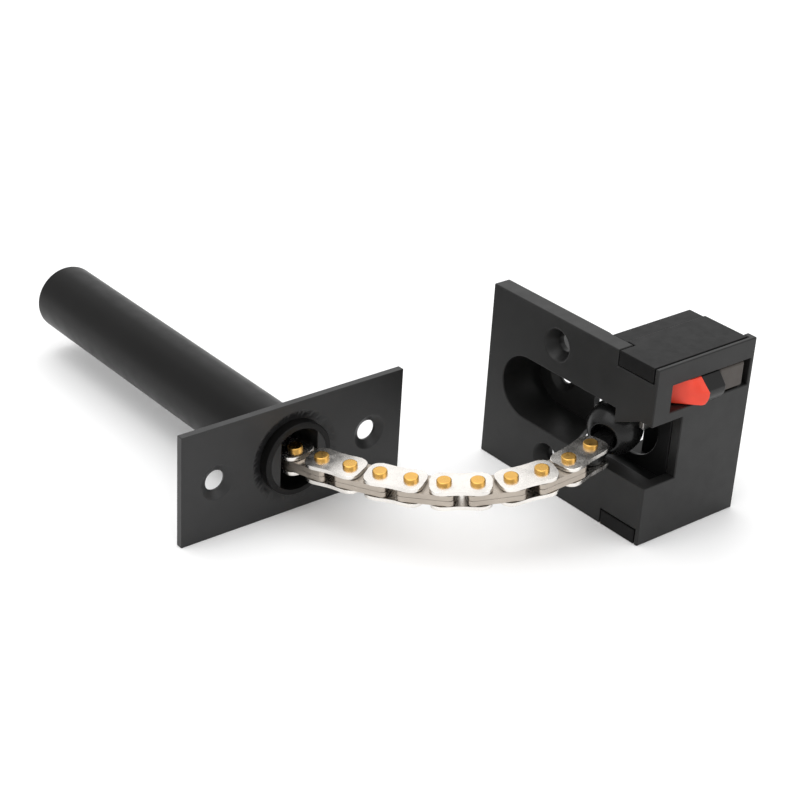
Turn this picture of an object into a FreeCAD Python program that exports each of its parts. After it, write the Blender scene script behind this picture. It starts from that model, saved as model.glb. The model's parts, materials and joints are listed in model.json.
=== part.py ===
"""Concealed door chain guard: a barrel that goes into the door's edge, a riveted chain on a
swivelling plunger, and a slotted receiver for the frame that holds the ball on the chain's end.

The origin is the centre of the barrel's face plate, on its front face.  +X runs along the face
plate, +Y into the door along the barrel, and +Z up.  The chain is fully drawn out and curves
round to the receiver, which stands open towards -X.
"""
import FreeCAD
import Part
import Sketcher
import math
import os

from FreeCAD import Placement, Rotation, Vector

OVERCUT = 1.0  # how far a cutting tool starts outside the solid that it cuts

DIMENSIONS = {
    # barrel
    "face_long": 66.2,
    "face_tall": 30.0,
    "face_thick": 2.0,
    "barrel_outer_r": 9.25,
    "barrel_inner_r": 8.25,
    "barrel_end": 110.0,
    "end_chamfer": 0.7,
    "dish_r": 12.8,
    "dish_deep": 1.2,
    "face_screw_r": 2.7,
    "face_sink_r": 4.7,
    "face_sink_deep": 1.2,
    "face_screw_gap": 45.8,
    "cap_long": 5.0,
    "rim_r": 9.8,
    "spigot_r": 9.0,
    "spigot_end": 2.4,
    "eye_relief_r": 9.4,
    "eye_relief_deep": 0.3,
    "rim_proud": 1.6,
    # mouth guides
    "guide_end": 12.0,
    "mouth_wide": 10.9,
    # plunger and swivel eye
    "piston_r": 8.19,
    "piston_long": 10.0,
    "piston_play": 0.1,
    "swivel_r": 2.5,
    "swivel_bore_r": 2.55,
    "swivel_head_r": 4.0,
    "swivel_head_thick": 1.6,
    # chain
    "anchor_y": 7.6,
    "pitch": 8.0,
    "plate_wide": 8.5,
    "plate_long": 15.0,
    "plate_thick": 1.0,
    "plate_corner_r": 2.6,
    "inner_long": 14.2,
    "inner_wide": 8.0,
    "inner_corner_r": 1.2,
    "eye_r": 3.2,
    "inner_thick": 3.0,
    "side_play": 0.1,
    "rivet_r": 1.15,
    "rivet_bore_r": 1.2,
    "rivet_head_r": 1.85,
    "rivet_head_tall": 0.9,
    "chain_roll": 7.0,
    # ball head
    "ball_r": 7.1,
    "ball_reach": 12.38,
    "ball_rise": 1.24,
    "mouth_r": 3.6,
    "mouth_flat": 5.9,
    "mouth_deep": 3.4,
    "neck_half": 2.4,
    # receiver
    "front_x": 59.5,
    "near_y": -60.9,
    "base_z": -15.0,
    "body_wide": 58.4,
    "body_tall": 48.2,
    "body_deep": 34.0,
    "plate_deep": 5.0,
    "wall_thick": 3.0,
    "slot_r": 8.4,
    "slot_z": 9.5,
    "slot_end_y": -17.0,
    "notch_deep": 10.5,
    "cup_deep": 13.0,
    "cup_wall": 2.0,
    "cup_floor": 2.2,
    "cup_edge_y": -29.2,
    "cup_front_edge_y": -33.0,
    "hole_y": -26.7,
    "hole_gap": 32.4,
    "screw_r": 2.4,
    "sink_r": 4.4,
    "sink_deep": 3.2,
    "cup_sink_deep": 1.3,
    "window_x": 65.2,
    "window_long": 27.2,
    "window_z": 20.5,
    "window_tall": 7.2,
    # inner housing
    "case_y": -40.0,
    "case_play": 0.1,
    "seat_deep": 0.2,
    "case_wall": 2.0,
    "upper_floor_z": 18.1,
    "lower_top_z": -1.0,
    "tab_inset": 1.2,
    "tab_play": 0.3,
    "tab_wide": 11.9,
    "tab_tall": 3.9,
    "back_x": 70.0,
    "back_thick": 1.2,
    "case_short": 1.8,
    "rib_x": 76.0,
    "rib_y": -43.8,
    "rib_thick": 2.0,
    "port_y": -45.4,
    "cover_y": -45.2,
    "cover_drop": 0.35,
    # release button and lock bolt
    "button_play": 0.25,
    "ramp_proud": 3.1,
    "ramp_foot": 2.0,
    "ramp_start": 1.6,
    "ramp_long": 9.75,
    "grip_proud": 2.3,
    "grip_foot": 1.1,
    "grip_long": 6.4,
    "crease_tall": 3.6,
    "shoe_set_back": 0.2,
    "shoe_long": 9.0,
    "carrier_x": 71.0,
    "carrier_top_z": 30.5,
    "bolt_thick": 1.4,
    "bolt_wide": 4.0,
    "bolt_x": 67.6,
    "bolt_y": -52.7,
    "bolt_tip_z": 12.0,
    "bolt_long": 12.0,
    # fixed lip over the ball
    "lip_y": -48.5,
    "lip_long": 8.5,
    "lip_drop": 4.0,
    "lip_thick": 2.4,
}

# How much each rivet, from the barrel to the ball, turns the chain towards +X, in degrees.
BENDS = (0.0, 16.5, 5.0, 4.0, 4.0, 8.0, 11.0, 12.0, 12.0, 12.0, 11.5)
BALL_HEADING = 107.1

doc = FreeCAD.newDocument("DoorChainGuard")
sheet = doc.addObject("Spreadsheet::Sheet", "Sizes")
for number, (alias, value) in enumerate(DIMENSIONS.items(), start=1):
    sheet.set(f"A{number}", alias)
    sheet.set(f"B{number}", str(value))
    sheet.setAlias(f"B{number}", alias)
doc.recompute()

nodes = []


def size(alias):
    """A driving dimension's value, for placements worked out in code."""
    return float(sheet.get(alias))


def bound(text):
    """An expression on the sheet's cells, from plain alias names."""
    words = sorted(DIMENSIONS, key=len, reverse=True)
    out = []
    token = ""
    for letter in text + " ":
        if letter.isalnum() or letter == "_":
            token += letter
            continue
        out.append(f"Sizes.{token}" if token in words else token)
        out.append(letter)
        token = ""
    return "".join(out).strip()


def place(item, x, y, z, turn=None):
    """Put a primitive's base at three expressions, turned by a fixed rotation."""
    if turn is not None:
        item.Placement = Placement(Vector(0, 0, 0), turn)
    for axis, text in zip("xyz", (x, y, z)):
        item.setExpression(f"Placement.Base.{axis}", bound(str(text)))
    return item


def box(name, low, high):
    """A box between two corners given as expressions."""
    item = doc.addObject("Part::Box", name)
    for key, start, end in zip(("Length", "Width", "Height"), low, high):
        item.setExpression(key, bound(f"({end}) - ({start})"))
    return place(item, *low)


ALONG = {
    "x": Rotation(Vector(0, 1, 0), 90),
    "y": Rotation(Vector(1, 0, 0), -90),
    "z": Rotation(),
}


def rod(name, radius, start, length, axis):
    """A cylinder from a start point along +X, +Y or +Z."""
    item = doc.addObject("Part::Cylinder", name)
    item.setExpression("Radius", bound(str(radius)))
    item.setExpression("Height", bound(str(length)))
    return place(item, *start, ALONG[axis])


def cone(name, radius_near, radius_far, start, length, axis):
    """A cone from a start point along +X, +Y or +Z."""
    item = doc.addObject("Part::Cone", name)
    item.setExpression("Radius1", bound(str(radius_near)))
    item.setExpression("Radius2", bound(str(radius_far)))
    item.setExpression("Height", bound(str(length)))
    return place(item, *start, ALONG[axis])


def fuse(name, shapes):
    """One solid from several."""
    item = doc.addObject("Part::MultiFuse", name)
    item.Shapes = shapes
    item.Refine = True
    return item


def cut(name, base, tools):
    """A solid with tools taken away."""
    item = doc.addObject("Part::Cut", name)
    item.Base = base
    item.Tool = tools[0] if len(tools) == 1 else fuse(f"{name}_tools", tools)
    item.Refine = True
    return item


def common(name, first, second):
    """What two solids share."""
    item = doc.addObject("Part::Common", name)
    item.Base = first
    item.Tool = second
    return item


def group(name, shapes):
    """Separate solids kept as one sub-part."""
    item = doc.addObject("Part::Compound", name)
    item.Links = shapes
    return item


def node(item, name, placement=None):
    """Name a finished sub-part and, for a chain piece, put it in its place."""
    item.Label = name
    if placement is not None:
        item.Placement = placement
    nodes.append(item)
    return item


def sink(name, radii, depths, start, axis):
    """A countersunk hole's tool: (hole, head) radii, (through, head) depths, along +X or +Y."""
    x, y, z = start
    before = {"x": (f"{x} - {OVERCUT}", y, z), "y": (x, f"{y} - {OVERCUT}", z)}[axis]
    shaft = rod(f"{name}_shaft", radii[0], before, f"{depths[0]} + {2 * OVERCUT}", axis)
    head = cone(f"{name}_head", radii[1], radii[0], start, depths[1], axis)
    return fuse(name, [shaft, head])


# ---------------------------------------------------------------- sketched bodies


def body_with_sketch(name, role):
    """A PartDesign body and a sketch on one of its own origin planes."""
    body = doc.addObject("PartDesign::Body", name)
    sketch = body.newObject("Sketcher::SketchObject", f"{name}_sketch")
    plane = next(part for part in body.Origin.OriginFeatures if part.Role == role)
    sketch.AttachmentSupport = [(plane, "")]
    sketch.MapMode = "FlatFace"
    return body, sketch


def sketch_loop(sketch, points):
    """Close a run of straight edges through points in the sketch's plane."""
    total = len(points)
    for start, end in zip(points, points[1:] + points[:1]):
        sketch.addGeometry(Part.LineSegment(Vector(*start, 0), Vector(*end, 0)), False)
    for edge in range(total):
        following = (edge + 1) % total
        sketch.addConstraint(Sketcher.Constraint("Coincident", edge, 2, following, 1))


def sketch_reach(sketch, edge, across, up):
    """Tie the start of an edge to the sketch's origin by two bound distances."""
    for kind, text in (("DistanceX", across), ("DistanceY", up)):
        number = sketch.addConstraint(Sketcher.Constraint(kind, -1, 1, edge, 1, 1.0))
        sketch.setExpression(f"Constraints[{number}]", bound(text))


def turned(name, profile):
    """A solid of revolution about the Y axis, from (radius, y) pairs of expressions."""
    body, sketch = body_with_sketch(name, "XY_Plane")
    sketch_loop(sketch, [(edge + 1.0, edge * edge + 1.0) for edge in range(len(profile))])
    for edge, (across, along) in enumerate(profile):
        sketch_reach(sketch, edge, across, along)
    doc.recompute()
    revolution = body.newObject("PartDesign::Revolution", f"{name}_turn")
    revolution.Profile = sketch
    revolution.ReferenceAxis = (sketch, ["V_Axis"])
    revolution.Angle = 360
    return body


def prism(name, role, points, start, length):
    """A straight prism on an origin plane, from pairs of expressions, between two depths."""
    body, sketch = body_with_sketch(name, role)
    sketch_loop(sketch, [(edge + 1.0, edge * edge + 1.0) for edge in range(len(points))])
    for edge, (across, up) in enumerate(points):
        sketch_reach(sketch, edge, across, up)
    sketch.setExpression("AttachmentOffset.Base.z", bound(start))
    doc.recompute()
    pad = body.newObject("PartDesign::Pad", f"{name}_pad")
    pad.Profile = sketch
    pad.setExpression("Length", bound(length))
    return body


# ---------------------------------------------------------------- barrel


def face_plate():
    """The flat plate screwed to the door's edge, dished around the mouth."""
    half_long = "face_long / 2"
    half_tall = "face_tall / 2"
    blank = box("face_blank", (f"-{half_long}", "0", f"-{half_tall}"),
                (half_long, "face_thick", half_tall))
    dish = cone("face_dish", "dish_r", "rim_r + 0.2", ("0", "0", "0"), "dish_deep", "y")
    eye = rod("face_eye", "spigot_r", ("0", f"-{OVERCUT}", "0"), f"face_thick + {2 * OVERCUT}", "y")
    relief = rod("face_eye_relief", "eye_relief_r", ("0", "face_thick - eye_relief_deep", "0"),
                 f"eye_relief_deep + {OVERCUT}", "y")
    radii = ("face_screw_r", "face_sink_r")
    depths = ("face_thick", "face_sink_deep")
    sinks = [
        sink(f"face_sink_{side}", radii, depths, (f"{sign}face_screw_gap / 2", "0", "0"), "y")
        for side, sign in (("left", "-"), ("right", "0 + "))
    ]
    node(cut("face_plate_solid", blank, [dish, eye, relief, *sinks]), "face_plate")


def barrel():
    """The tube in the door, drawn with its rim in the face plate, and the cap in its far end."""
    tube = turned("barrel_tube_solid", [
        ("barrel_inner_r", "-rim_proud"),
        ("rim_r", "-rim_proud"),
        ("rim_r", "dish_deep"),
        ("spigot_r", "dish_deep"),
        ("spigot_r", "spigot_end"),
        ("barrel_outer_r", "spigot_end"),
        ("barrel_outer_r", "barrel_end - end_chamfer"),
        ("barrel_outer_r - end_chamfer", "barrel_end"),
        ("barrel_inner_r", "barrel_end"),
    ])
    node(tube, "barrel_tube")
    cap = turned("barrel_cap_solid", [
        ("0", "barrel_end - cap_long"),
        ("barrel_inner_r", "barrel_end - cap_long"),
        ("barrel_inner_r", "barrel_end - 0.3"),
        ("0", "barrel_end - 0.3"),
    ])
    node(cap, "barrel_end_cap")


def mouth_guides():
    """Two D-shaped cheeks in the barrel's mouth, with a tall way for the chain between them."""
    start = "-rim_proud"
    core = rod("guide_core", "barrel_inner_r", ("0", start, "0"), f"guide_end - ({start})", "y")
    way = box(
        "guide_way",
        ("-mouth_wide / 2", f"-rim_proud - {OVERCUT}", f"-barrel_inner_r - {OVERCUT}"),
        ("mouth_wide / 2", f"guide_end + {OVERCUT}", f"barrel_inner_r + {OVERCUT}"),
    )
    node(cut("mouth_guides_solid", core, [way]), "mouth_guides")


# ---------------------------------------------------------------- plunger and eye


PISTON_FRONT = "guide_end + piston_play"


def plunger():
    """The piston that carries the chain along the barrel, bored for the swivel eye's shank."""
    blank = rod("piston_blank", "piston_r", ("0", PISTON_FRONT, "0"), "piston_long", "y")
    start = ("0", f"{PISTON_FRONT} - {OVERCUT}", "0")
    bore = rod("piston_bore", "swivel_bore_r", start, f"piston_long + {2 * OVERCUT}", "y")
    node(cut("plunger_solid", blank, [bore]), "plunger")


def rolled(placement=None):
    """The chain's own plane: turned about the barrel's axis so that it climbs towards +X."""
    roll = Placement(Vector(0, 0, 0), Rotation(Vector(0, 1, 0), -size("chain_roll")))
    return roll if placement is None else roll.multiply(placement)


def swivel_eye():
    """The headed shank that turns in the piston and ends in the chain's first eye."""
    half = "inner_thick / 2"
    eye_end = "guide_end - side_play"
    eye = rod("eye_round", "eye_r", ("0", "anchor_y", f"-{half}"), "inner_thick", "z")
    web = box("eye_web", ("-eye_r", "anchor_y", f"-{half}"), ("eye_r", eye_end, half))
    shank_long = "piston_long + piston_play + 3 * side_play"
    shank = rod("eye_shank", "swivel_r", ("0", f"{eye_end} - 0.5", "0"), f"{shank_long} + 0.5", "y")
    head = rod("eye_head", "swivel_head_r", ("0", f"{eye_end} + {shank_long}", "0"),
               "swivel_head_thick", "y")
    bore = rod("eye_bore", "rivet_bore_r", ("0", "anchor_y", f"-{half} - {OVERCUT}"),
               f"inner_thick + {2 * OVERCUT}", "z")
    solid = fuse("eye_blank", [eye, web, shank, head])
    node(cut("swivel_eye_solid", solid, [bore]), "swivel_eye", rolled())


# ---------------------------------------------------------------- chain


def chain_route():
    """Each rivet's place in the chain's own plane, and the heading of the link after it."""
    across = 0.0
    along = size("anchor_y")
    heading = 0.0
    route = []
    for bend in BENDS:
        heading += bend
        route.append((across, along, heading))
        across += size("pitch") * math.sin(math.radians(heading))
        along -= size("pitch") * math.cos(math.radians(heading))
    route.append((across, along, BALL_HEADING))
    return route


def link_place(stop):
    """Where a link drawn along +X from its first rivet goes."""
    across, along, heading = stop
    return rolled(Placement(Vector(across, along, 0), Rotation(Vector(0, 0, 1), heading - 90)))


def slab(name, long, wide, corner, low, thick):
    """A rounded rectangle centred on a link's two rivets, from a height upwards."""
    left = f"(pitch - {long}) / 2"
    right = f"(pitch + {long}) / 2"
    half = f"{wide} / 2"
    high = f"{low} + {thick}"
    parts = [
        box(f"{name}_long", (left, f"{corner} - {half}", low), (right, f"{half} - {corner}", high)),
        box(f"{name}_wide", (f"{left} + {corner}", f"-{half}", low), (f"{right} - {corner}", half, high)),
    ]
    for end, across in (("a", f"{left} + {corner}"), ("b", f"{right} - {corner}")):
        for side, up in (("near", f"{corner} - {half}"), ("far", f"{half} - {corner}")):
            parts.append(rod(f"{name}_{end}_{side}", corner, (across, up, low), thick, "z"))
    return fuse(name, parts)


def bores(name, radius, low, thick):
    """The two rivet holes' tools through a link."""
    start = f"{low} - {OVERCUT}"
    return [
        rod(f"{name}_bore_{end}", radius, (across, "0", start), f"{thick} + {2 * OVERCUT}", "z")
        for end, across in (("a", "0"), ("b", "pitch"))
    ]


def side_plate(name, low):
    """One outer plate with its two rivet holes."""
    blank = slab(f"{name}_blank", "plate_long", "plate_wide", "plate_corner_r", low, "plate_thick")
    return cut(name, blank, bores(name, "rivet_r", low, "plate_thick"))


def outer_link(number, stop):
    """Two side plates a clearance away from the inner links, and the two rivets through them."""
    under = "inner_thick / 2 + side_play"
    plates = [
        side_plate(f"link_{number}_upper", under),
        side_plate(f"link_{number}_lower", f"-({under}) - plate_thick"),
    ]
    node(group(f"outer_link_{number}_solids", plates), f"outer_link_{number}", link_place(stop))
    rivets = [rivet(f"link_{number}_rivet_{end}", across) for end, across in (("a", "0"), ("b", "pitch"))]
    node(group(f"link_rivets_{number}_solids", rivets), f"link_rivets_{number}", link_place(stop))


def rivet(name, across):
    """A rivet: a shank through both plates, with a chamfered head on each side."""
    grip = "inner_thick / 2 + side_play + plate_thick"
    shank = rod(f"{name}_shank", "rivet_r", (across, "0", f"-({grip})"), f"2 * ({grip})", "z")
    edge = "rivet_head_tall / 3"
    parts = [shank]
    flat = rod(f"{name}_top", "rivet_head_r", (across, "0", grip), f"rivet_head_tall - {edge}", "z")
    crown = cone(f"{name}_top_crown", "rivet_head_r", f"rivet_head_r - {edge}",
                 (across, "0", f"{grip} + rivet_head_tall - {edge}"), edge, "z")
    parts += [flat, crown]
    base = f"-({grip}) - rivet_head_tall"
    foot = cone(f"{name}_foot_crown", f"rivet_head_r - {edge}", "rivet_head_r",
                (across, "0", base), edge, "z")
    sole = rod(f"{name}_foot", "rivet_head_r", (across, "0", f"{base} + {edge}"),
               f"rivet_head_tall - {edge}", "z")
    parts += [foot, sole]
    return fuse(name, parts)


def inner_link(number, stop):
    """The thick link between two outer links, bored to turn on their rivets."""
    name = f"inner_{number}"
    low = "-inner_thick / 2"
    blank = slab(f"{name}_blank", "inner_long", "inner_wide", "inner_corner_r", low, "inner_thick")
    solid = cut(f"{name}_solid", blank, bores(name, "rivet_bore_r", low, "inner_thick"))
    node(solid, f"inner_link_{number}", link_place(stop))


def ball_head(stop):
    """The ball on the chain's end: a flat-mouthed bore takes the neck that swings on the last rivet."""
    half = "inner_thick / 2"
    ball = doc.addObject("Part::Sphere", "ball_round")
    ball.setExpression("Radius", bound("ball_r"))
    place(ball, "ball_reach", "0", "ball_rise")
    front = ("ball_reach - ball_r - 1", "0", "ball_rise")
    mouth = rod("ball_mouth", "mouth_r", front, "1 + ball_r - mouth_flat + mouth_deep", "x")
    face = rod("ball_face", "ball_r", front, "1 + ball_r - mouth_flat", "x")
    hollow = cut("ball_hollow", ball, [mouth, face])
    eye = rod("ball_eye", "eye_r", ("0", "0", f"-{half}"), "inner_thick", "z")
    neck = box("ball_neck", ("0", "-neck_half", f"-{half}"), ("ball_reach", "neck_half", half))
    bore = rod("ball_bore", "rivet_bore_r", ("0", "0", f"-{half} - {OVERCUT}"),
               f"inner_thick + {2 * OVERCUT}", "z")
    solid = fuse("ball_blank", [hollow, eye, neck])
    node(cut("ball_head_solid", solid, [bore]), "ball_head", link_place(stop))


def chain():
    """Outer and inner links by turns, from the swivel eye to the ball."""
    route = chain_route()
    for place_number, stop in enumerate(route[:-1]):
        number = place_number // 2 + 1
        if place_number % 2 == 0:
            outer_link(number, stop)
        else:
            inner_link(number, stop)
    ball_head(route[-1])


# ---------------------------------------------------------------- receiver


SLOT_LOW = "slot_z - slot_r"
SLOT_HIGH = "slot_z + slot_r"
PLATE_BACK = "front_x + plate_deep"
WALL_INSIDE = "near_y + wall_thick"
FAR_Y = "near_y + body_wide"
TOP_Z = "base_z + body_tall"
HOUSING_NEAR = f"{WALL_INSIDE} + case_play"
HOUSING_FRONT = f"{PLATE_BACK} + case_play"
HOUSING_BACK = "front_x + body_deep - case_short"


def slot_tool():
    """The slot: round at its far end, deeper in the cup, and out through the side wall."""
    front = f"front_x - {OVERCUT}"
    end = rod("slot_end", "slot_r", (front, "slot_end_y", "slot_z"), f"cup_deep + {OVERCUT}", "x")
    cup = box("slot_cup", (front, "cup_front_edge_y", SLOT_LOW),
              ("front_x + cup_deep", "slot_end_y", SLOT_HIGH))
    notch = box("slot_notch", (front, f"near_y - {OVERCUT}", SLOT_LOW),
                ("front_x + notch_deep", "cup_edge_y", SLOT_HIGH))
    return [end, cup, notch]


def receiver_shell():
    """The front plate, the side wall and the cup behind the slot's round end, before any cut."""
    plate = box("plate_blank", ("front_x", "near_y", "base_z"), (PLATE_BACK, FAR_Y, TOP_Z))
    wall = box("wall_blank", ("front_x", "near_y", "base_z"),
               ("front_x + body_deep", WALL_INSIDE, TOP_Z))
    radius = "slot_r + cup_wall"
    long = "cup_deep + cup_floor - plate_deep"
    end = rod("cup_end", radius, (PLATE_BACK, "slot_end_y", "slot_z"), long, "x")
    side = prism("cup_side", "XY_Plane", [
        (PLATE_BACK, "slot_end_y"),
        (PLATE_BACK, "cup_front_edge_y"),
        ("front_x + cup_deep", "cup_edge_y"),
        (f"{PLATE_BACK} + {long}", "cup_edge_y"),
        (f"{PLATE_BACK} + {long}", "slot_end_y"),
    ], f"slot_z - ({radius})", f"2 * ({radius})")
    return fuse("receiver_blank", [plate, wall, end, side])


def tab_recesses():
    """The notches in the plate's edges for the housing's tabs, and the rebate along the wall's top."""
    ends = ("near_y + tab_inset", "near_y + tab_inset + tab_wide + tab_play")
    depth = (f"front_x - {OVERCUT}", f"{PLATE_BACK} + {OVERCUT}")
    upper = box("upper_tab_recess", (depth[0], ends[0], f"{TOP_Z} - tab_tall - tab_play"),
                (depth[1], ends[1], f"{TOP_Z} + {OVERCUT}"))
    lower = box("lower_tab_recess", (depth[0], ends[0], f"base_z - {OVERCUT}"),
                (depth[1], ends[1], "base_z + tab_tall + tab_play"))
    top = box("wall_rebate", (f"{PLATE_BACK} - {OVERCUT}", ends[0], f"{TOP_Z} - tab_tall - tab_play"),
              (f"{HOUSING_BACK} + case_play", f"{WALL_INSIDE} + {OVERCUT}", f"{TOP_Z} + {OVERCUT}"))
    return [upper, lower, top]


def slot_lip():
    """The fixed lip that hangs from the slot's ceiling over the ball, sloping up to the notch."""
    corners = [
        ("lip_y", f"{SLOT_HIGH} + 0.5"),
        ("lip_y", f"{SLOT_HIGH} - lip_drop"),
        ("lip_y - lip_long", SLOT_HIGH),
        ("lip_y - lip_long", f"{SLOT_HIGH} + 0.5"),
    ]
    return prism("slot_lip", "YZ_Plane", corners, "front_x", "lip_thick")


def receiver_body():
    """The casting: front plate, side wall with the release window, slot, cup and screw holes."""
    window = box("window", ("window_x", f"near_y - {OVERCUT}", "window_z"),
                 ("window_x + window_long", f"{WALL_INSIDE} + {OVERCUT}", "window_z + window_tall"))
    radii = ("screw_r", "sink_r")
    sinks = [
        sink(f"plate_sink_{name}", radii, ("plate_deep", "sink_deep"),
             ("front_x", "hole_y", f"slot_z {sign} hole_gap / 2"), "x")
        for name, sign in (("upper", "+"), ("lower", "-"))
    ]
    floor_sink = sink("cup_sink", radii, ("cup_floor", "cup_sink_deep"),
                      ("front_x + cup_deep", "slot_end_y", "slot_z"), "x")
    seat = box("housing_seat", (f"{PLATE_BACK} - seat_deep", WALL_INSIDE, f"base_z - {OVERCUT}"),
               (f"{PLATE_BACK} + {OVERCUT}", "case_y + case_play", f"{TOP_Z} + {OVERCUT}"))
    tools = [*slot_tool(), *tab_recesses(), window, seat, *sinks, floor_sink]
    casting = cut("receiver_cut", receiver_shell(), tools)
    node(fuse("receiver_solid", [casting, slot_lip()]), "receiver_body")


def housing_tabs():
    """The two tabs that reach forward through the plate's edges, and the flange on the wall's top."""
    shapes = []
    near = "near_y + tab_inset + tab_play"
    for name, low in (("upper", f"{TOP_Z} - tab_tall"), ("lower", "base_z")):
        high = f"{low} + tab_tall"
        far = "near_y + tab_inset + tab_wide"
        shapes.append(box(f"{name}_tab", ("front_x", near, low), (PLATE_BACK, far, high)))
        shapes.append(box(f"{name}_tab_root", (f"{PLATE_BACK} - {OVERCUT}", HOUSING_NEAR, low),
                          (f"{HOUSING_FRONT} + {OVERCUT}", far, high)))
    shapes.append(box("top_flange", (f"{PLATE_BACK} - {OVERCUT}", near, f"{TOP_Z} - tab_tall"),
                      (HOUSING_BACK, f"{HOUSING_NEAR} + {OVERCUT}", TOP_Z)))
    return shapes


def inner_housing():
    """The C-shaped moulding behind the plate: a hollow upper case, a ported back and a lower case."""
    hollow_floor = "upper_floor_z + case_wall"
    upper = box("upper_case", (HOUSING_FRONT, HOUSING_NEAR, "upper_floor_z"),
                (HOUSING_BACK, "case_y", TOP_Z))
    wall = box("port_wall", ("back_x", HOUSING_NEAR, "lower_top_z - 0.5"),
               ("back_x + back_thick", "case_y", "upper_floor_z + 0.5"))
    lower = box("lower_case", (HOUSING_FRONT, HOUSING_NEAR, "base_z"),
                (HOUSING_BACK, "case_y", "lower_top_z"))
    hollow = box("upper_hollow", ("window_x", "near_y", hollow_floor),
                 ("window_x + window_long", "cover_y", f"{TOP_Z} - case_wall"))
    rebate = box("cover_rebate", (f"{HOUSING_FRONT} - {OVERCUT}", "cover_y", hollow_floor),
                 (f"{HOUSING_BACK} + {OVERCUT}", f"case_y + {OVERCUT}", f"{TOP_Z} + {OVERCUT}"))
    under_low = (f"{HOUSING_FRONT} + case_wall", f"{HOUSING_NEAR} + case_wall", f"base_z - {OVERCUT}")
    under = box("lower_hollow", under_low,
                (f"{HOUSING_BACK} - case_wall", "case_y - case_wall", "lower_top_z - case_wall"))
    rib = box("port_rib", ("rib_x", HOUSING_NEAR, "lower_top_z - 0.5"),
              ("rib_x + rib_thick", "rib_y", "upper_floor_z + 0.5"))
    port = rod("port", "slot_r", (f"back_x - {OVERCUT}", "port_y", "slot_z"),
               f"back_thick + {2 * OVERCUT}", "x")
    port_way = box("port_way", (f"back_x - {OVERCUT}", "port_y", SLOT_LOW),
                   (f"back_x + back_thick + {OVERCUT}", f"case_y + {OVERCUT}", SLOT_HIGH))
    bolt_half = "(bolt_wide / 2 + button_play)"
    bolt_way = box("bolt_way", (f"bolt_x - {bolt_half}", "bolt_y - button_play", "upper_floor_z - 1"),
                   (f"bolt_x + {bolt_half}", "bolt_y + bolt_thick + button_play", f"{hollow_floor} + 1"))
    solid = fuse("housing_blank", [upper, wall, lower, rib, *housing_tabs()])
    tools = [hollow, rebate, under, port, port_way, bolt_way]
    node(cut("inner_housing_solid", solid, tools), "inner_housing")


def housing_cover():
    """The cover that closes the upper case on its far side, a step lower than the case's top."""
    floor = "upper_floor_z + case_wall"
    top = f"{TOP_Z} - cover_drop"
    back = box("cover_back", (HOUSING_FRONT, "case_y - case_wall", floor), (HOUSING_BACK, "case_y", top))
    lid = box("cover_lid", (HOUSING_FRONT, "cover_y", f"{top} - case_wall"),
              (HOUSING_BACK, "case_y", top))
    node(fuse("housing_cover_solid", [back, lid]), "housing_cover")


# ---------------------------------------------------------------- release button and lock bolt


BUTTON_X = "window_x + button_play"
BUTTON_LOW = "window_z + button_play"
BUTTON_TALL = "window_tall - 2 * button_play"
BUTTON_BACK = f"{WALL_INSIDE} + case_play"


def drum(name, start, long, proud, foot):
    """A bar along X whose front bulges at mid height and leans back at the top."""
    back = f"{BUTTON_BACK} + case_wall"
    top = f"{BUTTON_LOW} + {BUTTON_TALL}"
    return prism(name, "YZ_Plane", [
        (back, BUTTON_LOW),
        (f"near_y - {foot}", BUTTON_LOW),
        (f"near_y - {proud}", f"{BUTTON_LOW} + crease_tall / 2"),
        (f"near_y - {proud}", f"{BUTTON_LOW} + crease_tall"),
        ("near_y + 0.3", top),
        (back, top),
    ], start, long)


def release_button():
    """The red ramp, the dark grip and the grey shoe in the window, on one carrier behind the wall."""
    grip_x = f"{BUTTON_X} + ramp_long"
    shoe_x = f"{grip_x} + grip_long"
    shoe_end = f"{shoe_x} + shoe_long"
    back = f"{BUTTON_BACK} + case_wall"
    wedge = prism("ramp_wedge", "XY_Plane", [
        (f"{BUTTON_X} + ramp_start", back),
        (grip_x, back),
        (grip_x, "near_y - ramp_proud"),
    ], BUTTON_LOW, BUTTON_TALL)
    bar = drum("ramp_bar", BUTTON_X, "ramp_long", "ramp_proud", "ramp_foot")
    node(common("release_ramp_solid", wedge, bar), "release_ramp")
    node(drum("grip_solid", grip_x, "grip_long", "grip_proud", "grip_foot"), "release_grip")
    shoe = box("shoe_solid", (shoe_x, "near_y + shoe_set_back", BUTTON_LOW),
               (shoe_end, back, f"{BUTTON_LOW} + {BUTTON_TALL}"))
    node(shoe, "release_shoe")
    carrier = box("carrier_solid", ("carrier_x", back, "upper_floor_z + case_wall + button_play"),
                  (shoe_end, f"{back} + case_wall", "carrier_top_z"))
    node(carrier, "button_carrier")


def lock_bolt():
    """The bolt that drops beside the ball and is lifted as the button goes in."""
    bolt = box("bolt_solid", ("bolt_x - bolt_wide / 2", "bolt_y", "bolt_tip_z"),
               ("bolt_x + bolt_wide / 2", "bolt_y + bolt_thick", "bolt_tip_z + bolt_long"))
    node(bolt, "lock_bolt")


# ---------------------------------------------------------------- build and write


def faults():
    """Objects that failed, and sub-parts with no valid shape."""
    bad = [item.Name for item in doc.Objects if {"Invalid", "Error"} & set(item.State)]
    bad += [item.Label for item in nodes if item.Shape.isNull() or not item.Shape.isValid()]
    return bad


face_plate()
barrel()
mouth_guides()
plunger()
swivel_eye()
chain()
receiver_body()
inner_housing()
housing_cover()
release_button()
lock_bolt()
doc.recompute()

failed = faults()
if failed:
    raise RuntimeError(f"failed objects: {failed}")
os.makedirs("parts", exist_ok=True)
for item in nodes:
    item.Shape.exportStep(f"parts/{item.Label}.step")
    print(f"{item.Label:20s} {len(item.Shape.Solids)} solids {item.Shape.Volume:10.1f} mm3")
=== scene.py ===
"""Detailed meshes, materials and studio for the concealed door chain guard."""

import json
import math

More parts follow.
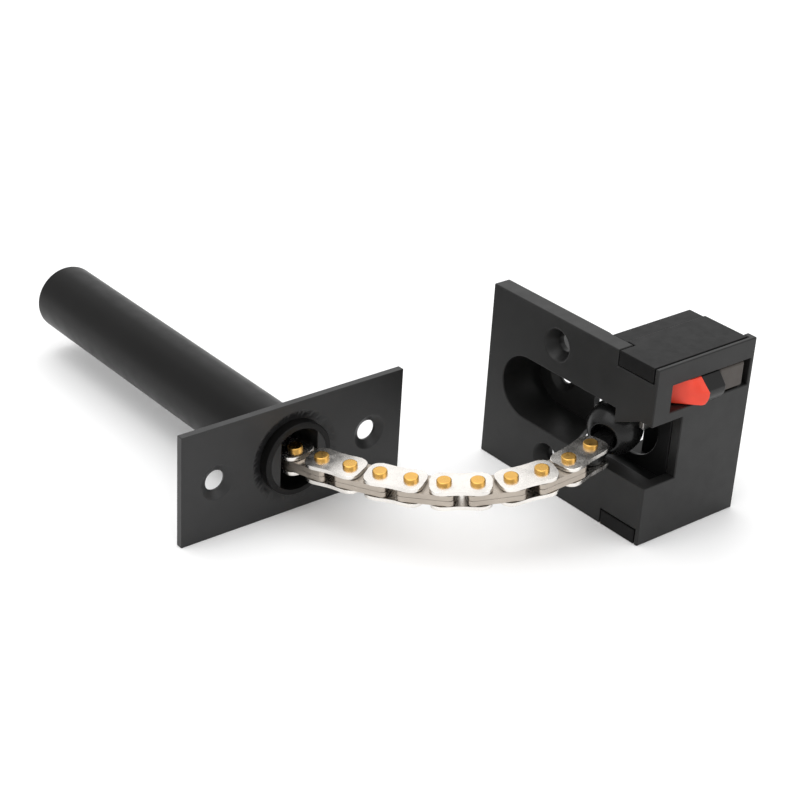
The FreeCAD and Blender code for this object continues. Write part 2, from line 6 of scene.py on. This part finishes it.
import bmesh
import bpy
from mathutils import Matrix, Vector

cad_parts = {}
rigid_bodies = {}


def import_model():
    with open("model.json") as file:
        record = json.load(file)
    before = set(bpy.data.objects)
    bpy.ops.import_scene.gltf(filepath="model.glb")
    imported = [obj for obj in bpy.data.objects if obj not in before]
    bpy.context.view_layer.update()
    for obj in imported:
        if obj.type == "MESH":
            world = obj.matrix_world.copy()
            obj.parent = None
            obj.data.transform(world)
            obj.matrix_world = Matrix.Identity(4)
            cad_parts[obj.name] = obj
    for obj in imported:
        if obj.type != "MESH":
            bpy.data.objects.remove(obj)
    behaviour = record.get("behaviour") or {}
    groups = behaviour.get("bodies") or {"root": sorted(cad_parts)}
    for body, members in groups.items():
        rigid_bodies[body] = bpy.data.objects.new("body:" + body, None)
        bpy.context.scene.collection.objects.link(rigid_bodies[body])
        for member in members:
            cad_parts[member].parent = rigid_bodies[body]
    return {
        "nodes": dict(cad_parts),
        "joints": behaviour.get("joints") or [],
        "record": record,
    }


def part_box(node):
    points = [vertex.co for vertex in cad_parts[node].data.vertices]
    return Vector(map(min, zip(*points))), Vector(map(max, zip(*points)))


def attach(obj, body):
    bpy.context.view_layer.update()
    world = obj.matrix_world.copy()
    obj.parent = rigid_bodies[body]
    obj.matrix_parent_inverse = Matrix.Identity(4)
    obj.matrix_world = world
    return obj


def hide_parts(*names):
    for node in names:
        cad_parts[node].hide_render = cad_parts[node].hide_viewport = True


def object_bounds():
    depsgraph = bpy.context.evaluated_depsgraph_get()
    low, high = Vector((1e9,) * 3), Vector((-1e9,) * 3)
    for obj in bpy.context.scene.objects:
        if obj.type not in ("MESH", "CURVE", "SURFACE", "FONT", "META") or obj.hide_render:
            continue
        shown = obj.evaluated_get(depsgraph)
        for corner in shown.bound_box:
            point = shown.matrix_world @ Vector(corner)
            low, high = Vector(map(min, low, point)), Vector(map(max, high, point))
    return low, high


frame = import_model()
CAD_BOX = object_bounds()

MM = 0.001
NODES = frame["nodes"]
JOINTS = {joint["name"]: joint for joint in frame["joints"]}


# ---------------------------------------------------------------- mesh tools


MERGE_DISTANCE = 0.002
FLAT_ANGLE = 0.4


def finish_mesh(name, bm, smooth_angle=32.0):
    """Turn a bmesh into a linked object with smooth shading that breaks at sharp edges."""
    bmesh.ops.recalc_face_normals(bm, faces=bm.faces)
    mesh = bpy.data.meshes.new(name)
    bm.to_mesh(mesh)
    bm.free()
    mesh.polygons.foreach_set("use_smooth", [True] * len(mesh.polygons))
    mesh.set_sharp_from_angle(angle=math.radians(smooth_angle))
    piece = bpy.data.objects.new(name, mesh)
    bpy.context.scene.collection.objects.link(piece)
    weighted = piece.modifiers.new("weighted_normals", "WEIGHTED_NORMAL")
    weighted.keep_sharp = True
    return piece


def bevel_edges(bm, edges, width, segments):
    """Round edges by a width in millimetres."""
    bmesh.ops.bevel(
        bm,
        geom=edges,
        offset=width * MM,
        offset_type="OFFSET",
        segments=segments,
        profile=0.5,
        affect="EDGES",
        clamp_overlap=False,
    )


def bevel_sharp(bm, width, segments=3, limit=30.0):
    """Round every outside edge sharper than a limit in degrees."""
    bm.normal_update()
    edges = [
        edge
        for edge in bm.edges
        if edge.is_manifold and edge.is_convex and edge.calc_face_angle(0) > math.radians(limit)
    ]
    bevel_edges(bm, edges, width, segments)


def refined(node, width, segments=3):
    """A copy of a CAD node's mesh with its planar faces merged and its outside edges rounded."""
    bm = bmesh.new()
    bm.from_mesh(NODES[node].data)
    bmesh.ops.remove_doubles(bm, verts=bm.verts, dist=MERGE_DISTANCE * MM)
    flat = math.radians(FLAT_ANGLE)
    bmesh.ops.dissolve_limit(bm, angle_limit=flat, verts=bm.verts, edges=bm.edges)
    bevel_sharp(bm, width, segments)
    return finish_mesh(f"{node}_finished", bm)


def add_prism(bm, outline, low, high, place, bevel=0.0):
    """Add a closed prism to bm: an outline in mm, between two heights, moved by a matrix."""
    before = set(bm.verts)
    rings = []
    for height in (low, high):
        rings.append([bm.verts.new((x * MM, y * MM, height * MM)) for x, y in outline])
    lower, upper = rings
    bm.faces.new(lower[::-1])
    bm.faces.new(upper)
    count = len(outline)
    for number in range(count):
        following = (number + 1) % count
        bm.faces.new((lower[number], lower[following], upper[following], upper[number]))
    if bevel:
        made = set(bm.verts) - before
        rims = [
            edge
            for edge in bm.edges
            if edge.verts[0] in made and edge.verts[1] in made
            and abs(edge.verts[0].co.z - edge.verts[1].co.z) < 1e-9
        ]
        bevel_edges(bm, rims, bevel, 3)
    made = [vert for vert in bm.verts if vert not in before]
    bmesh.ops.transform(bm, matrix=place, verts=made)


def add_lathe(bm, profile, place, segments=96):
    """Add a closed turned solid to bm: (radius, height) pairs in mm about local Z."""
    before = set(bm.verts)
    rings = []
    for radius, height in profile:
        if radius < 1e-6:
            rings.append([bm.verts.new((0, 0, height * MM))])
            continue
        ring = []
        for step in range(segments):
            angle = 2 * math.pi * step / segments
            spot = (radius * MM * math.cos(angle), radius * MM * math.sin(angle), height * MM)
            ring.append(bm.verts.new(spot))
        rings.append(ring)
    closed = rings if profile[0][0] < 1e-6 else rings + [rings[0]]
    for first, second in zip(closed, closed[1:]):
        for step in range(segments):
            following = (step + 1) % segments
            corners = [first[step % len(first)], first[following % len(first)]]
            corners += [second[following % len(second)], second[step % len(second)]]
            unique = list(dict.fromkeys(corners))
            if len(unique) > 2:
                bm.faces.new(unique)
    made = [vert for vert in bm.verts if vert not in before]
    bmesh.ops.transform(bm, matrix=place, verts=made)


def arc(centre, radius, start, end, steps):
    """Points on an arc, in degrees."""
    points = []
    for step in range(steps + 1):
        angle = math.radians(start + (end - start) * step / steps)
        points.append((centre[0] + radius * math.cos(angle), centre[1] + radius * math.sin(angle)))
    return points


def axes_matrix(origin, along, up):
    """A matrix whose X is along and whose Z is up."""
    x_axis = along.normalized()
    z_axis = up.normalized()
    y_axis = z_axis.cross(x_axis)
    turn = Matrix((x_axis, y_axis, z_axis)).transposed()
    return Matrix.Translation(origin) @ turn.to_4x4()


def settle(piece, body, material, slot, *nodes):
    """Give a piece its material, put it on its body and let it stand for its nodes. The slot is not
    used.
    """
    piece.data.materials.clear()
    piece.data.materials.append(material)
    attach(piece, body)
    if nodes:
        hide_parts(*nodes)
    return piece


# ---------------------------------------------------------------- materials


def shader(name, colour, metallic, roughness, specular=0.5):
    """A material's tree, its main shader and its object coordinates."""
    material = bpy.data.materials.new(name)
    material.use_nodes = True
    tree = material.node_tree
    main = tree.nodes["Principled BSDF"]
    main.inputs["Base Color"].default_value = (*colour, 1)
    main.inputs["Metallic"].default_value = metallic
    main.inputs["Roughness"].default_value = roughness
    main.inputs["Specular IOR Level"].default_value = specular
    coordinates = tree.nodes.new("ShaderNodeTexCoord")
    return material, tree, main, coordinates


def noise(tree, coordinates, scale, detail=4.0, stretch=(1, 1, 1)):
    """A noise texture on object coordinates, stretched along chosen axes."""
    mapping = tree.nodes.new("ShaderNodeMapping")
    mapping.inputs["Scale"].default_value = stretch
    texture = tree.nodes.new("ShaderNodeTexNoise")
    texture.inputs["Scale"].default_value = scale
    texture.inputs["Detail"].default_value = detail
    tree.links.new(coordinates.outputs["Object"], mapping.inputs["Vector"])
    tree.links.new(mapping.outputs["Vector"], texture.inputs["Vector"])
    return texture


def spread(tree, texture, low, high):
    """A texture's middle range mapped onto low to high."""
    mapped = tree.nodes.new("ShaderNodeMapRange")
    mapped.inputs["From Min"].default_value = 0.3
    mapped.inputs["From Max"].default_value = 0.7
    mapped.inputs["To Min"].default_value = low
    mapped.inputs["To Max"].default_value = high
    tree.links.new(texture.outputs["Fac"], mapped.inputs["Value"])
    return mapped


def tint(tree, main, texture, dark, light):
    """Base colour that drifts between two shades."""
    ramp = tree.nodes.new("ShaderNodeValToRGB")
    ramp.color_ramp.elements[0].position = 0.35
    ramp.color_ramp.elements[0].color = (*dark, 1)
    ramp.color_ramp.elements[1].position = 0.65
    ramp.color_ramp.elements[1].color = (*light, 1)
    tree.links.new(texture.outputs["Fac"], ramp.inputs["Fac"])
    tree.links.new(ramp.outputs["Color"], main.inputs["Base Color"])


def grain(tree, main, texture, strength, distance):
    """Fine bump from a texture, with its depth in millimetres."""
    bump = tree.nodes.new("ShaderNodeBump")
    bump.inputs["Strength"].default_value = strength
    bump.inputs["Distance"].default_value = distance * MM
    tree.links.new(texture.outputs["Fac"], bump.inputs["Height"])
    tree.links.new(bump.outputs["Normal"], main.inputs["Normal"])


def shades(colour, amount):
    """A darker and a lighter version of a colour."""
    return [tuple(channel * factor for channel in colour) for factor in (1 - amount, 1 + amount)]


def coated(name, colour, roughness, specular, grain_size=0.35, depth=0.01):
    """Satin black coating: fine orange peel, faint cloudiness in colour and gloss."""
    material, tree, main, coordinates = shader(name, colour, 0.0, roughness, specular)
    clouds = noise(tree, coordinates, scale=90.0, detail=3.0)
    tint(tree, main, clouds, *shades(colour, 0.12))
    patches = noise(tree, coordinates, scale=260.0, detail=5.0)
    gloss = spread(tree, patches, roughness - 0.04, roughness + 0.05)
    tree.links.new(gloss.outputs["Result"], main.inputs["Roughness"])
    peel = noise(tree, coordinates, scale=1 / (grain_size * MM), detail=3.0)
    grain(tree, main, peel, strength=0.35, distance=depth)
    return material


def plated(name, colour, roughness, stretch=(1, 1, 1)):
    """Bright plated metal with polishing marks and slightly uneven gloss."""
    material, tree, main, coordinates = shader(name, colour, 1.0, roughness)
    clouds = noise(tree, coordinates, scale=220.0, detail=4.0)
    tint(tree, main, clouds, *shades(colour, 0.06))
    patches = noise(tree, coordinates, scale=420.0, detail=6.0)
    gloss = spread(tree, patches, roughness - 0.05, roughness + 0.07)
    tree.links.new(gloss.outputs["Result"], main.inputs["Roughness"])
    marks = noise(tree, coordinates, scale=700.0, detail=4.0, stretch=stretch)
    grain(tree, main, marks, strength=0.12, distance=0.008)
    return material


def moulded(name, colour, roughness, specular, depth=0.008):
    """Moulded plastic with a fine spark-eroded texture."""
    material, tree, main, coordinates = shader(name, colour, 0.0, roughness, specular)
    clouds = noise(tree, coordinates, scale=120.0, detail=3.0)
    tint(tree, main, clouds, *shades(colour, 0.08))
    patches = noise(tree, coordinates, scale=500.0, detail=4.0)
    gloss = spread(tree, patches, roughness - 0.05, roughness + 0.05)
    tree.links.new(gloss.outputs["Result"], main.inputs["Roughness"])
    spark = noise(tree, coordinates, scale=3500.0, detail=2.0)
    grain(tree, main, spark, strength=0.3, distance=depth)
    return material


MATERIALS = {
    "black_plate": coated("black_plate", (0.0120, 0.0120, 0.0123), 0.38, 0.40),
    "black_tube": coated("black_tube", (0.0045, 0.0043, 0.0042), 0.36, 0.16),
    "guide_black": moulded("guide_black", (0.0120, 0.0120, 0.0120), 0.42, 0.40),
    "steel": plated("steel", (0.50, 0.49, 0.47), 0.30),
    "ball_black": coated("ball_black", (0.0060, 0.0060, 0.0060), 0.26, 0.30, 0.6, 0.004),
    "receiver_black": coated("receiver_black", (0.0105, 0.0105, 0.0103), 0.40, 0.28),
    "housing_black": moulded("housing_black", (0.0075, 0.0075, 0.0075), 0.38, 0.10),
    "release_red": moulded("release_red", (0.84, 0.058, 0.026), 0.36, 0.40),
    "grip_black": moulded("grip_black", (0.0050, 0.0050, 0.0050), 0.34, 0.25),
    "shoe_grey": moulded("shoe_grey", (0.050, 0.041, 0.035), 0.45, 0.35),
    "nickel_plate": plated("nickel_plate", (0.80, 0.77, 0.73), 0.24, (1, 1, 6)),
    # Painted shade: nickel_inner is the chain's nickel plating darkened and warmed for the leaves that
    # sit between the side plates.
    "nickel_inner": plated("nickel_inner", (0.44, 0.39, 0.335), 0.30, (1, 1, 6)),
    "brass_rivet": plated("brass_rivet", (0.72, 0.42, 0.11), 0.28),
}
SLOTS = {row["node"]: row["material_slot"] for row in frame["record"]["subparts"]}
BODIES = {
    node: body
    for body, members in frame["record"]["behaviour"]["bodies"].items()
    for node in members
}


def dress(piece, node, *others):
    """Settle a piece that stands for a node, with that node's slot and body."""
    slot = SLOTS[node]
    return settle(piece, BODIES[node], MATERIALS[slot], slot, node, *others)


# ---------------------------------------------------------------- barrel


TUBE_OUTER_R = 9.25
TUBE_INNER_R = 8.25
SPIGOT_R = 9.0
SPIGOT_END = 2.4
RIM_LONG = 2.8
RIM_EDGE = 0.3
TUBE_END_EDGE = 1.0


def barrel_tube():
    """The tube, with a crisp rim flush with the guides and a softly rounded far end."""
    low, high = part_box("barrel_tube")
    start, end, rim = low.y / MM, high.y / MM, high.x / MM
    rim_back = start + RIM_LONG
    corner = TUBE_OUTER_R - TUBE_END_EDGE
    profile = [(TUBE_INNER_R, start)]
    profile += [(rim - RIM_EDGE + x, start + RIM_EDGE - y) for x, y in arc((0, 0), RIM_EDGE, 90, 0, 4)]
    profile += [(rim, rim_back), (SPIGOT_R, rim_back)]
    profile += [(SPIGOT_R, SPIGOT_END), (TUBE_OUTER_R, SPIGOT_END)]
    profile += [(corner + x, end - TUBE_END_EDGE + y) for x, y in arc((0, 0), TUBE_END_EDGE, 0, 90, 8)]
    profile += [(TUBE_INNER_R, end)]
    bm = bmesh.new()
    add_lathe(bm, profile, Matrix.Rotation(math.radians(-90), 4, "X"), 160)
    return dress(finish_mesh("barrel_tube_finished", bm), "barrel_tube")


# ---------------------------------------------------------------- chain


# Degrees at rest between the last inner link and the ball's neck.
BALL_BEND = 11.1


def link_frame(body):
    """A chain piece's own frame, from the hinge that it hangs on, and its length in mm."""
    first = next(joint for joint in JOINTS.values() if joint["child"] == body)
    origin = Vector(first["pos_m"])
    up = Vector(first["axis"])
    after = [
        joint for joint in JOINTS.values()
        if joint["parent"] == body and joint["type"] == "hinge"
    ]
    if after:
        along = Vector(after[0]["pos_m"]) - origin
        return axes_matrix(origin, along, up), along.length / MM
    before = origin - Vector(JOINTS["rivet_turn_11"]["pos_m"])
    return axes_matrix(origin, Matrix.Rotation(math.radians(BALL_BEND), 3, up) @ before, up), 0.0


PLATE_END = 3.5
PLATE_HALF = 4.25
PLATE_CORNER = 2.6
PLATE_WAIST = 0.3
PLATE_THICK = 1.0
PLATE_GAP = 0.1
INNER_END = 3.05
INNER_HALF_WIDE = 3.9
INNER_CORNER = 1.2
INNER_HALF = 1.5
EYE_R = 3.2
WAIST_STEPS = 12
PLATE_EDGE = 0.14
LEAF_EDGE = 0.12
RIVET_HEAD_R = 1.85
RIVET_HEAD_TALL = 0.9
RIVET_RIM = 0.3
RIVET_SHANK_R = 1.15
OUTER_LINKS = 6
INNER_LINKS = 5


def link_outline(pitch, end, half, corner, dip):
    """A link seen from above: rounded corners and long edges that dip towards their middle."""
    left, right = -end, pitch + end
    points = arc((right - corner, half - corner), corner, 0, 90, 8)
    points += waist(right - corner, left + corner, half, -dip)
    points += arc((left + corner, half - corner), corner, 90, 180, 8)
    points += arc((left + corner, -half + corner), corner, 180, 270, 8)
    points += waist(left + corner, right - corner, -half, dip)
    points += arc((right - corner, -half + corner), corner, 270, 360, 8)
    return points


def waist(start, end, height, dip):
    """The dip of a link's long edge, towards its middle."""
    points = []
    for step in range(1, WAIST_STEPS):
        share = step / WAIST_STEPS
        dipped = height + dip * math.sin(math.pi * share) ** 2
        points.append((start + (end - start) * share, dipped))
    return points


def outer_link(number):
    """Two pressed side plates with rounded rims."""
    node = f"outer_link_{number}"
    place, pitch = link_frame(BODIES[node])
    bm = bmesh.new()
    start = INNER_HALF + PLATE_GAP
    for low in (start, -start - PLATE_THICK):
        outline = link_outline(pitch, PLATE_END, PLATE_HALF, PLATE_CORNER, PLATE_WAIST)
        add_prism(bm, outline, low, low + PLATE_THICK, place, PLATE_EDGE)
    dress(finish_mesh(f"{node}_plates", bm), node)


def rivet_profile():
    """A rivet from its upper head to its lower one: flat heads with a rounded rim, and a shank."""
    grip = INNER_HALF + PLATE_GAP + PLATE_THICK
    flat = RIVET_HEAD_R - RIVET_RIM
    crown = [(0.0, RIVET_HEAD_TALL), (flat - 0.1, RIVET_HEAD_TALL)]
    crown += arc((flat, RIVET_HEAD_TALL - RIVET_RIM), RIVET_RIM, 0, 90, 6)[::-1]
    crown += [(RIVET_HEAD_R, 0.0)]
    upper = [(radius, grip + height) for radius, height in crown] + [(RIVET_SHANK_R, grip)]
    lower = [(radius, -height) for radius, height in upper[::-1]]
    return upper + lower


def rivets(number):
    """The two brass rivets of an outer link."""
    node = f"link_rivets_{number}"
    place, pitch = link_frame(BODIES[node])
    bm = bmesh.new()
    for across in (0.0, pitch):
        add_lathe(bm, rivet_profile(), place @ Matrix.Translation((across * MM, 0, 0)), 28)
    dress(finish_mesh(f"{node}_finished", bm), node)


LEAVES = 2
LEAF_GAP = 0.04


def inner_link(number):
    """The stacked leaves between the side plates."""
    node = f"inner_link_{number}"
    place, pitch = link_frame(BODIES[node])
    bm = bmesh.new()
    step = 2 * INNER_HALF / LEAVES
    outline = link_outline(pitch, INNER_END, INNER_HALF_WIDE, INNER_CORNER, 0.0)
    for leaf in range(LEAVES):
        low = -INNER_HALF + leaf * step
        add_prism(bm, outline, low + LEAF_GAP, low + step - LEAF_GAP, place, LEAF_EDGE)
    dress(finish_mesh(f"{node}_leaves", bm), node)


BALL_R = 7.1
BALL_REACH = 12.38
BALL_RISE = 1.24
MOUTH_R = 3.6
MOUTH_FLAT = 5.9
MOUTH_DEEP = 3.4
MOUTH_FLOOR_EDGE = 0.5
MOUTH_EDGE = 0.25
MOUTH_LIP_START = 0.06
MOUTH_LIP_END = 0.24
NECK_HALF = 2.4
NECK_START = 3.0
NECK_EDGE = 0.15


def ball_profile():
    """The ball from the bottom of its bore, over a raised lip at the mouth, to its back."""
    lip = math.degrees(math.acos(MOUTH_FLAT / BALL_R))
    floor_at = MOUTH_DEEP - MOUTH_FLAT
    profile = [(0.0, floor_at), (MOUTH_R - MOUTH_FLOOR_EDGE, floor_at)]
    profile += [(MOUTH_R, floor_at + MOUTH_FLOOR_EDGE), (MOUTH_R, -MOUTH_FLAT + MOUTH_EDGE)]
    profile += [(MOUTH_R + across, -MOUTH_FLAT) for across in (MOUTH_LIP_START, MOUTH_LIP_END)]
    profile += [(x, -y) for y, x in arc((0, 0), BALL_R, lip + 1.5, 180, 60)]
    return profile


def ball_head():
    """The black ball, bored for the neck that swings on the last rivet."""
    place, _ = link_frame("ball_head")
    centre = Matrix.Translation((BALL_REACH * MM, 0, BALL_RISE * MM))
    bm = bmesh.new()
    add_lathe(bm, ball_profile(), place @ centre @ Matrix.Rotation(math.radians(90), 4, "Y"), 96)
    bore_floor = BALL_REACH - MOUTH_FLAT + MOUTH_DEEP
    neck = arc((0, 0), EYE_R, 60, 300, 24)
    neck += [(NECK_START, -NECK_HALF), (bore_floor, -NECK_HALF)]
    neck += [(bore_floor, NECK_HALF), (NECK_START, NECK_HALF)]
    add_prism(bm, neck, -INNER_HALF, INNER_HALF, place, NECK_EDGE)
    dress(finish_mesh("ball_head_finished", bm), "ball_head")


def chain():
    """All the links, from the swivel eye to the ball."""
    for number in range(1, OUTER_LINKS + 1):
        outer_link(number)
        rivets(number)
    for number in range(1, INNER_LINKS + 1):
        inner_link(number)
    ball_head()


# ---------------------------------------------------------------- release button


# The crease as (set-back, height) pairs in mm, from the furthest front and the bar's foot.
CREASE = ((0.35, 1.2), (0.0, 2.4), (0.0, 3.7))
TOP_LEAN = 0.3
DRUM_STEPS = 12
# (proud, foot) in mm in front of the receiver's side.
RAMP_BULGES = (3.1, 2.0)
GRIP_BULGES = (2.3, 1.1)
RAMP_TOE = 0.4
RAMP_EDGE = 0.2
GRIP_EDGE = 0.3
SHOE_EDGE = 0.7


def drum_section(low, high, front, proud, foot):
    """A bar's section as (y, z) in mm: it bulges at mid height and leans back at the top."""
    points = [(front - foot, low)]
    points += [(front - proud + set_back, low + height) for set_back, height in CREASE]
    points += [(front + TOP_LEAN, high)]
    return points


def add_drum(bm, stations, low, high, front, back, bulges):
    """Add a bar along X to bm, through (x, furthest front) stations, cut off by its own section."""
    section = drum_section(low, high, front, *bulges)
    rings = []
    for along, limit in stations:
        outline = [(back, low)] + [(max(y, limit), z) for y, z in section] + [(back, high)]
        rings.append([bm.verts.new((along * MM, y * MM, z * MM)) for y, z in outline])
    bm.faces.new(rings[0])
    bm.faces.new(rings[-1][::-1])
    for one, two in zip(rings, rings[1:]):
        for number in range(len(one)):
            following = (number + 1) % len(one)
            bm.faces.new((one[number], two[number], two[following], one[following]))


def release_drum(name, node, start_front, bulges, edge):
    """A ramp or grip in the window, from a front set-back at its low end to its full bulge."""
    first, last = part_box(node)
    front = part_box("receiver_body")[0].y / MM
    low, high, back = first.z / MM, last.z / MM, last.y / MM
    full = front - bulges[0]
    stations = []
    for step in range(DRUM_STEPS + 1):
        share = step / DRUM_STEPS
        limit = full
        if start_front < back:
            limit = max(full, start_front + (full - start_front) * share)
        stations.append((first.x / MM + (last.x - first.x) / MM * share, limit))
    bm = bmesh.new()
    add_drum(bm, stations, low, high, front, back, bulges)
    bmesh.ops.recalc_face_normals(bm, faces=bm.faces)
    bevel_sharp(bm, edge, 3, 35.0)
    dress(finish_mesh(name, bm), node)


def rounded_block(name, node, radius, segments=5):
    """A node's box with all its edges well rounded."""
    low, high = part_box(node)
    bm = bmesh.new()
    bmesh.ops.create_cube(bm, size=1.0)
    centre = (low + high) / 2
    bmesh.ops.scale(bm, vec=high - low, verts=bm.verts)
    bmesh.ops.translate(bm, vec=centre, verts=bm.verts)
    bevel_edges(bm, list(bm.edges), radius, segments)
    return dress(finish_mesh(name, bm), node)


def release_button():
    """Ramp, grip and shoe."""
    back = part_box("release_ramp")[1].y / MM
    release_drum("release_ramp_finished", "release_ramp", back - RAMP_TOE, RAMP_BULGES, RAMP_EDGE)
    release_drum("release_grip_finished", "release_grip", back, GRIP_BULGES, GRIP_EDGE)
    rounded_block("release_shoe_finished", "release_shoe", SHOE_EDGE)


# ---------------------------------------------------------------- studio


CAMERA_PLACE = Vector((-0.2489, -0.3297, 0.2339))
CAMERA_YAW = 40.43
CAMERA_PITCH = 27.66
CAMERA_ROLL = 3.52
CAMERA_LENS = 87.38
CAMERA_SENSOR = 36.0
FLOOR_SIZE = 4.0
WORLD_STRENGTH = 0.8
# Each softbox: its name, place and size in metres, and power in watts.
LAMPS = (
    ("key", (-0.45, -0.05, 0.9), (0.9, 0.9), 3.6),
    ("top", (0.15, 0.35, 1.1), (1.2, 1.0), 4.0),
    ("fill", (0.45, -0.9, 0.6), (0.8, 0.6), 1.6),
    ("sheen", (0.72, 0.80, 0.58), (0.9, 0.5), 0.85),
)
# How far outside edges are rounded in mm, where it isn't EDGE_WIDTH.
EDGE_WIDTHS = {"face_plate": 0.18, "receiver_body": 0.3, "inner_housing": 0.25, "housing_cover": 0.3}
EDGE_WIDTH = 0.12


def camera():
    """A long lens looking down along the chain towards the receiver."""
    yaw, pitch, roll = (math.radians(angle) for angle in (CAMERA_YAW, CAMERA_PITCH, CAMERA_ROLL))
    level = math.cos(pitch)
    ahead = Vector((math.sin(yaw) * level, math.cos(yaw) * level, -math.sin(pitch)))
    right = Vector((math.cos(yaw), -math.sin(yaw), 0))
    up = right.cross(ahead)
    side = math.cos(roll) * right + math.sin(roll) * up
    top = math.cos(roll) * up - math.sin(roll) * right
    data = bpy.data.cameras.new("camera")
    data.lens = CAMERA_LENS
    data.sensor_width = CAMERA_SENSOR
    data.clip_start = 0.01
    view = bpy.data.objects.new("camera", data)
    turn = Matrix((side, top, -ahead)).transposed().to_4x4()
    view.matrix_world = Matrix.Translation(CAMERA_PLACE) @ turn
    bpy.context.scene.collection.objects.link(view)
    bpy.context.scene.camera = view


def floor():
    """A pale floor under the lowest edge."""
    bm = bmesh.new()
    bmesh.ops.create_grid(bm, x_segments=1, y_segments=1, size=FLOOR_SIZE)
    ground = finish_mesh("floor", bm)
    ground.location.z = CAD_BOX[0].z
    material = shader("floor_white", (0.97, 0.97, 0.97), 0.0, 0.6, specular=0.1)[0]
    ground.data.materials.append(material)


def softbox(name, place, target, size, power):
    """A rectangular area light that faces a target."""
    data = bpy.data.lights.new(name, "AREA")
    data.shape = "RECTANGLE"
    data.size, data.size_y = size
    data.energy = power
    light = bpy.data.objects.new(name, data)
    light.location = place
    light.rotation_mode = "QUATERNION"
    light.rotation_quaternion = (Vector(target) - Vector(place)).to_track_quat("-Z", "Y")
    bpy.context.scene.collection.objects.link(light)


def studio():
    """An even pale surround and the softboxes."""
    world = bpy.data.worlds.new("studio")
    bpy.context.scene.world = world
    world.use_nodes = True
    background = world.node_tree.nodes["Background"]
    background.inputs["Color"].default_value = (1, 1, 1, 1)
    background.inputs["Strength"].default_value = WORLD_STRENGTH
    middle = (CAD_BOX[0] + CAD_BOX[1]) / 2
    for name, place, size, power in LAMPS:
        softbox(name, place, middle, size, power)
    bpy.context.scene.view_settings.view_transform = "Standard"


def remaining():
    """Every node that no piece stands for yet gets a rounded copy."""
    shown = [node for node in NODES if not NODES[node].hide_render]
    for node in sorted(shown):
        dress(refined(node, EDGE_WIDTHS.get(node, EDGE_WIDTH)), node)


camera()
floor()
studio()
barrel_tube()
chain()
release_button()
remaining()
